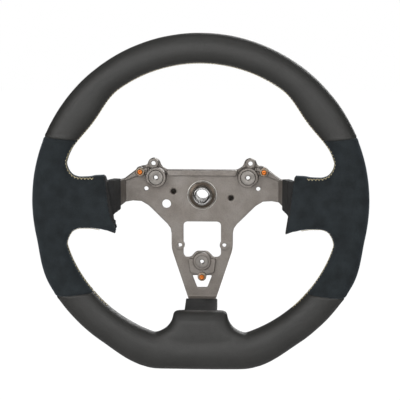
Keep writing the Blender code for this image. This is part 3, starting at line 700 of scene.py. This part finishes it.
def bush_material():
    """Turned steel: bright at the nose and outer rim, with painted shade between them (a dark brown band)
    and in the bore (a near-black colour).
    """
    made, nodes, links, shader, where = new_material("polished_steel")
    flat = nodes.new("ShaderNodeVectorMath")
    flat.operation = "MULTIPLY"
    flat.inputs[1].default_value = (1.0, 0.0, 1.0)
    links.new(where, flat.inputs[0])
    reach = nodes.new("ShaderNodeVectorMath")
    reach.operation = "LENGTH"
    links.new(flat.outputs["Vector"], reach.inputs[0])
    wide = nodes.new("ShaderNodeMath")
    wide.operation = "DIVIDE"
    wide.inputs[1].default_value = 20 * MM
    links.new(reach.outputs["Value"], wide.inputs[0])
    # Colour by distance from the axis: the near-black bore and the dark brown band between nose and outer
    # rim are painted shade; the nose and outer rim keep the steel's own bright colour.
    zones_with_painted_shade = [(0.385, (0.10, 0.09, 0.08)), (0.40, (0.62, 0.61, 0.60)), (0.53, (0.60, 0.59, 0.57)),
             (0.56, (0.13, 0.105, 0.085)), (0.70, (0.16, 0.13, 0.105)), (0.73, (0.55, 0.53, 0.50))]
    colour = ramp(nodes, links, wide.outputs["Value"], zones_with_painted_shade)
    stain = ramp(nodes, links, texture(nodes, links, where, 240, 4), [(0.3, 0.75), (0.7, 1.0)])
    links.new(multiplied(nodes, links, colour, stain), shader.inputs["Base Color"])
    shader.inputs["Metallic"].default_value = 1.0
    polish = [(0.39, 0.35), (0.41, 0.10), (0.53, 0.12), (0.56, 0.42), (0.70, 0.40), (0.73, 0.18)]
    links.new(ramp(nodes, links, wide.outputs["Value"], polish), shader.inputs["Roughness"])
    bumped(nodes, links, shader, [(texture(nodes, links, where, 900, 2), 0.1, 0.03)])
    return made


LEATHER = leather_material()
SUEDE = suede_material()
FOAM = foam_material()
THREAD = thread_material()
ALLOY = alloy_material()
POLISHED = bush_material()
MACHINED = metal_material("machined_alloy", (0.55, 0.53, 0.50), (0.72, 0.70, 0.67), 0.28, 0.4)
INSERT = metal_material("insert_steel", (0.20, 0.185, 0.17), (0.30, 0.28, 0.26), 0.42, 0.58, 1400)
STEEL = metal_material("rod_steel", (0.30, 0.29, 0.28), (0.42, 0.41, 0.40), 0.30, 0.45)
COPPER = metal_material("contact_copper", (0.38, 0.10, 0.02), (0.58, 0.175, 0.04), 0.30, 0.45)
NYLON = nylon_material()


# ---------------------------------------------------------------- grip pieces

def wraps(lines):
    """The leather and suede, as four thin shells that meet at the seams."""
    bm = grip_mesh()
    bm.verts.ensure_lookup_table()
    bm.normal_update()
    points = np.array([v.co for v in bm.verts])
    slope = slope_of(points)
    normals = slope / np.linalg.norm(slope, axis=1)[:, None]
    final = shaped(points, normals, lines)
    side = np.sign(points[:, 0])
    near_end = smoothstep((END_FADE_X - np.abs(points[:, 0])) / (END_FADE_X - END_X))
    near_end *= np.abs(points[:, 2]) < SPOKE_REACH
    for which in (LEFT, RIGHT):
        rows = side == which
        final[rows, 0] += which * ((pad_end_x(which, points[rows, 2]) - END_X) * near_end[rows])
    groups = {}
    for f in bm.faces:
        groups.setdefault(wrap_of(f.calc_center_median()), []).append([v.index for v in f.verts])
    bm.free()
    for name, faces in sorted(groups.items()):
        used = sorted({i for f in faces for i in f})
        renumber = {old: new for new, old in enumerate(used)}
        piece = mesh_object(f"{name}_look", final[used], [[renumber[i] for i in f] for f in faces])
        shell = piece.modifiers.new("skin", "SOLIDIFY")
        shell.thickness = SKIN * MM
        shell.offset = -1
        with_modifiers(piece)
        leather = name.startswith("leather")
        place_piece(piece, WHEEL, name,
                    LEATHER if leather else SUEDE)


def zigzag(line):
    """Stitches that cross from one leather edge to the other and back along a line."""
    spots = evenly(line, STITCH_PITCH / 2)
    slope = slope_of(spots)
    normals = slope / np.linalg.norm(slope, axis=1)[:, None]
    run = np.gradient(spots, axis=0)
    run /= np.linalg.norm(run, axis=1)[:, None]
    across = np.cross(normals, run)
    sides = np.where(np.arange(len(spots)) % 2 == 0, 1.0, -1.0)[:, None]
    holes = settle(spots + across * sides * STITCH_REACH)
    threads = []
    for i in range(len(holes) - 1):
        steps = np.linspace(0, 1, 9)[:, None]
        path = settle(holes[i] * (1 - steps) + holes[i + 1] * steps)
        away = slope_of(path)
        away /= np.linalg.norm(away, axis=1)[:, None]
        lift = 0.42 * np.sin(np.pi * steps) ** 0.5 - 0.35 * (1 - np.sin(np.pi * steps) ** 0.5)
        threads.append(tube_mesh(path + away * lift, THREAD_R, 6))
    return joined(threads)


def lacing(lines):
    for name, line in lines.items():
        points, faces = zigzag(line)
        piece = mesh_object(f"{name}_look", points, faces)
        place_piece(piece, WHEEL, name, THREAD)


def foam():
    piece = remade("rim_foam", 0.8, 2, 0.3)
    place_piece(piece, WHEEL, "rim_foam", FOAM)


# ---------------------------------------------------------------- hub pieces

def middle(node):
    """The (x, z) centre of a CAD node, in millimetres."""
    low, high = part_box(node)
    return ((low.x + high.x) / 2 / MM, (low.z + high.z) / 2 / MM)


def hub():
    piece = remade("hub_frame", 0.45, 2, 0.35)
    place_piece(piece, WHEEL, "hub_frame", ALLOY)
    # the machined edge of the mouth around the bush
    edge = [(15.4, -29.2), (15.4, -29.9), (15.9, -30.35), (16.4, -30.1), (16.4, -29.2)]
    ring = turned("bore_edge_look", edge, (0, 0), 96, 0.15)
    place_piece(ring, WHEEL, "hub_frame", MACHINED)


def bush():
    """The column bush: a turned outside and a bore with straight splines."""
    outside = [
        (SPLINE_ROOT_R, -38.6), (8.3, -39.5), (8.9, -39.5), (10.5, -37.6), (10.5, -33.0), (11.3, -31.8),
        (14.2, -30.6), (15.0, -29.8), (15.0, -11.6), (19.5, -11.6), (19.5, -7.0), (13.0, -6.0), (13.0, -0.8),
        (12.2, 0.0), (8.6, 0.0), (SPLINE_ROOT_R, -0.9),
    ]
    segments = 8 * SPLINE_TEETH
    outline = softened(outside, 0.25)
    bore = [(SPLINE_ROOT_R, -1.9), (SPLINE_TIP_R, -2.5), (SPLINE_TIP_R, -36.4), (SPLINE_ROOT_R, -37.1)]
    points, faces, rows = [], [], []
    for r, y in outline + bore:
        rows.append(list(range(len(points), len(points) + segments)))
        for k in range(segments):
            angle = 2 * pi * k / segments
            tooth = 0.5 + 0.5 * np.clip(2.6 * cos(SPLINE_TEETH * angle), -1, 1)
            reach = SPLINE_ROOT_R + (r - SPLINE_ROOT_R) * tooth if r < 7.7 else r
            points.append((reach * cos(angle), y, reach * sin(angle)))
    for i in range(len(rows)):
        here, there = rows[i], rows[(i + 1) % len(rows)]
        for k in range(segments):
            m = (k + 1) % segments
            faces.append((here[k], here[m], there[m], there[k]))
    piece = mesh_object("spline_bush_look", points, faces)
    place_piece(piece, WHEEL, "spline_bush", POLISHED)


def inserts():
    """The flanged, bored steel inserts of the airbag bosses."""
    for name in ("left", "right", "lower"):
        node = f"boss_insert_{name}"
        low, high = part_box(node)
        front, back, rim = low.y / MM, high.y / MM, (high.x - low.x) / 2 / MM
        profile = [
            (rim - 0.5, front), (rim, front + 0.5), (rim, front + 1.2), (3.8, front + 1.2), (3.8, back),
            (2.3, back), (2.3, front + 0.7), (3.0, front),
        ]
        piece = turned(f"{node}_look", profile, middle(node), 64, 0.15)
        place_piece(piece, WHEEL, node, INSERT)


def spring(node):
    """A coil under a contact, which the contact presses towards the guide's floor; the coil is made once, to
    the length of its CAD node.
    """
    low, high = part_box(node)
    x, z = middle(node)
    wire, coil, turns = 0.22, 2.2, 4
    front, back = low.y / MM + wire, high.y / MM - wire
    count = turns * 28
    line = []
    for i in range(count + 1):
        share = i / count
        settled = share - 0.055 * sin(2 * pi * share)
        angle = 2 * pi * turns * share
        line.append((x + coil * cos(angle), front + (back - front) * settled, z + coil * sin(angle)))
    piece = mesh_object(f"{node}_look", *tube_mesh(line, wire, 10))
    place_piece(piece, WHEEL, node, STEEL)
    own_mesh(piece)


def contacts():
    """The copper contacts and their clips, which slide, and the guides and springs around them."""
    for name in ("left", "right", "lower"):
        body = f"horn_contact_{name}"
        place = middle(f"contact_pin_{name}")
        low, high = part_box(f"contact_pin_{name}")
        front, back = low.y / MM, high.y / MM
        head = front + 1.9
        clip_low, clip_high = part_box(f"contact_clip_{name}")
        groove_front, groove_back = clip_low.y / MM - 0.3, clip_high.y / MM + 0.3
        profile = [
            (0, front + 0.5), (0.9, front + 0.15), (1.5, front), (2.4, front + 0.2), (2.9, front + 0.8),
            (2.9, head), (1.5, head), (1.5, groove_front), (1.1, groove_front), (1.1, groove_back),
            (1.5, groove_back), (1.5, back - 0.4), (1.1, back), (0, back),
        ]
        pin = turned(f"contact_pin_{name}_look", profile, place, 48, 0.12, ring=False)
        place_piece(pin, body, f"contact_pin_{name}", COPPER)
        clip_profile = [(3.1, clip_low.y / MM), (3.1, clip_high.y / MM), (1.2, clip_high.y / MM),
                        (1.2, clip_low.y / MM)]
        clip = turned(f"contact_clip_{name}_look", clip_profile, place, 48, 0.12)
        place_piece(clip, body, f"contact_clip_{name}", STEEL)
        low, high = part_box(f"contact_guide_{name}")
        front, back = low.y / MM, high.y / MM
        flange = front + 1.0
        profile = [
            (4.2, front), (4.5, front + 0.3), (4.5, flange), (3.6, flange), (3.6, back), (1.8, back),
            (1.8, GUIDE_FLOOR_Y), (2.8, GUIDE_FLOOR_Y), (2.8, front),
        ]
        guide = turned(f"contact_guide_{name}_look", profile, place, 56, 0.15)
        place_piece(guide, WHEEL, f"contact_guide_{name}", NYLON)
        spring(f"contact_spring_{name}")


# ---------------------------------------------------------------- stage

LIGHT_AIM = (0, -0.05, 0)


def floor():
    """A plain pale floor well below the wheel."""
    mesh = bpy.data.meshes.new("floor")
    reach, height = 9.0, -0.52
    corners = [(x * reach, y * reach, height) for x, y in ((-1, -1), (1, -1), (1, 1), (-1, 1))]
    mesh.from_pydata(corners, [], [(0, 1, 2, 3)])
    made = add_object("floor", mesh)
    finish, nodes, links, shader, where = new_material("pale_floor")
    links.new(ramp(nodes, links, texture(nodes, links, where, 3), [(0.3, 0.55), (0.7, 0.60)]),
              shader.inputs["Base Color"])
    shader.inputs["Roughness"].default_value = 0.8
    glow = nodes.new("ShaderNodeEmission")
    glow.inputs["Color"].default_value = (1.0, 1.0, 1.0, 1.0)
    glow.inputs["Strength"].default_value = 1.08
    seen = nodes.new("ShaderNodeLightPath")
    amount = nodes.new("ShaderNodeMath")
    amount.operation = "MULTIPLY"
    amount.inputs[1].default_value = 0.93
    links.new(seen.outputs["Is Camera Ray"], amount.inputs[0])
    mix = nodes.new("ShaderNodeMixShader")
    links.new(amount.outputs["Value"], mix.inputs["Fac"])
    links.new(shader.outputs["BSDF"], mix.inputs[1])
    links.new(glow.outputs["Emission"], mix.inputs[2])
    links.new(mix.outputs["Shader"], nodes["Material Output"].inputs["Surface"])
    mesh.materials.append(finish)


def softbox(name, place, width, height, power):
    """A soft rectangular light in metres and watts, aimed at the wheel."""
    light = bpy.data.lights.new(name, "AREA")
    light.shape = "RECTANGLE"
    light.size, light.size_y = width, height
    light.energy = power
    made = bpy.data.objects.new(name, light)
    bpy.context.scene.collection.objects.link(made)
    made.location = place
    made.rotation_euler = (Vector(LIGHT_AIM) - Vector(place)).to_track_quat("-Z", "Y").to_euler()


def studio():
    """White surroundings to look at, dim ones to be lit by, and five soft lights."""
    scene = bpy.context.scene
    world = bpy.data.worlds.new("studio")
    scene.world = world
    world.use_nodes = True
    nodes, links = world.node_tree.nodes, world.node_tree.links
    background = nodes["Background"]
    background.inputs["Color"].default_value = (1.0, 1.0, 1.0, 1.0)
    background.inputs["Strength"].default_value = 1.0
    dim = nodes.new("ShaderNodeBackground")
    direction = nodes.new("ShaderNodeSeparateXYZ")
    links.new(nodes.new("ShaderNodeTexCoord").outputs["Generated"], direction.inputs["Vector"])
    sky = ramp(nodes, links, direction.outputs["Z"], [(0.0, 0.05), (0.3, 0.10), (0.8, 0.30)])
    links.new(sky, dim.inputs["Color"])
    dim.inputs["Strength"].default_value = 1.0
    seen = nodes.new("ShaderNodeLightPath")
    mix = nodes.new("ShaderNodeMixShader")
    links.new(seen.outputs["Is Camera Ray"], mix.inputs["Fac"])
    links.new(dim.outputs["Background"], mix.inputs[1])
    links.new(background.outputs["Background"], mix.inputs[2])
    links.new(mix.outputs["Shader"], nodes["World Output"].inputs["Surface"])
    scene.view_settings.view_transform = "Standard"
    softbox("key", (-1.3, -2.0, 0.6), 1.6, 1.2, 25)
    softbox("front", (0.3, -2.5, 0.45), 1.8, 1.2, 22)
    softbox("fill", (1.6, -1.7, 0.5), 1.0, 1.2, 8)
    softbox("overhead", (0, -1.0, 2.1), 1.0, 0.6, 6)
    softbox("rear", (0.7, 1.9, 0.9), 1.4, 1.2, 26)


def camera():
    """A long lens in front of the driver's side, a little above the wheel."""
    data = bpy.data.cameras.new("camera")
    data.lens = 134.9
    data.sensor_width = 36.0
    data.shift_x, data.shift_y = -0.0004, 0.0059
    made = bpy.data.objects.new("camera", data)
    bpy.context.scene.collection.objects.link(made)
    aim = Vector((0, RIM_Y * MM, 0))
    turn, raise_by, distance = radians(2.29), radians(8.24), 1.6
    back = Vector((sin(turn) * cos(raise_by), -cos(turn) * cos(raise_by), sin(raise_by)))
    made.location = aim + back * distance
    made.rotation_euler = (-back).to_track_quat("-Z", "Y").to_euler()
    bpy.context.scene.camera = made


LINES = lacing_lines()
wraps(LINES)
lacing(LINES)
foam()
hub()
bush()
inserts()
contacts()
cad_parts["rim_rod"].data.materials.clear()
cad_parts["rim_rod"].data.materials.append(STEEL)
floor()
studio()
camera()
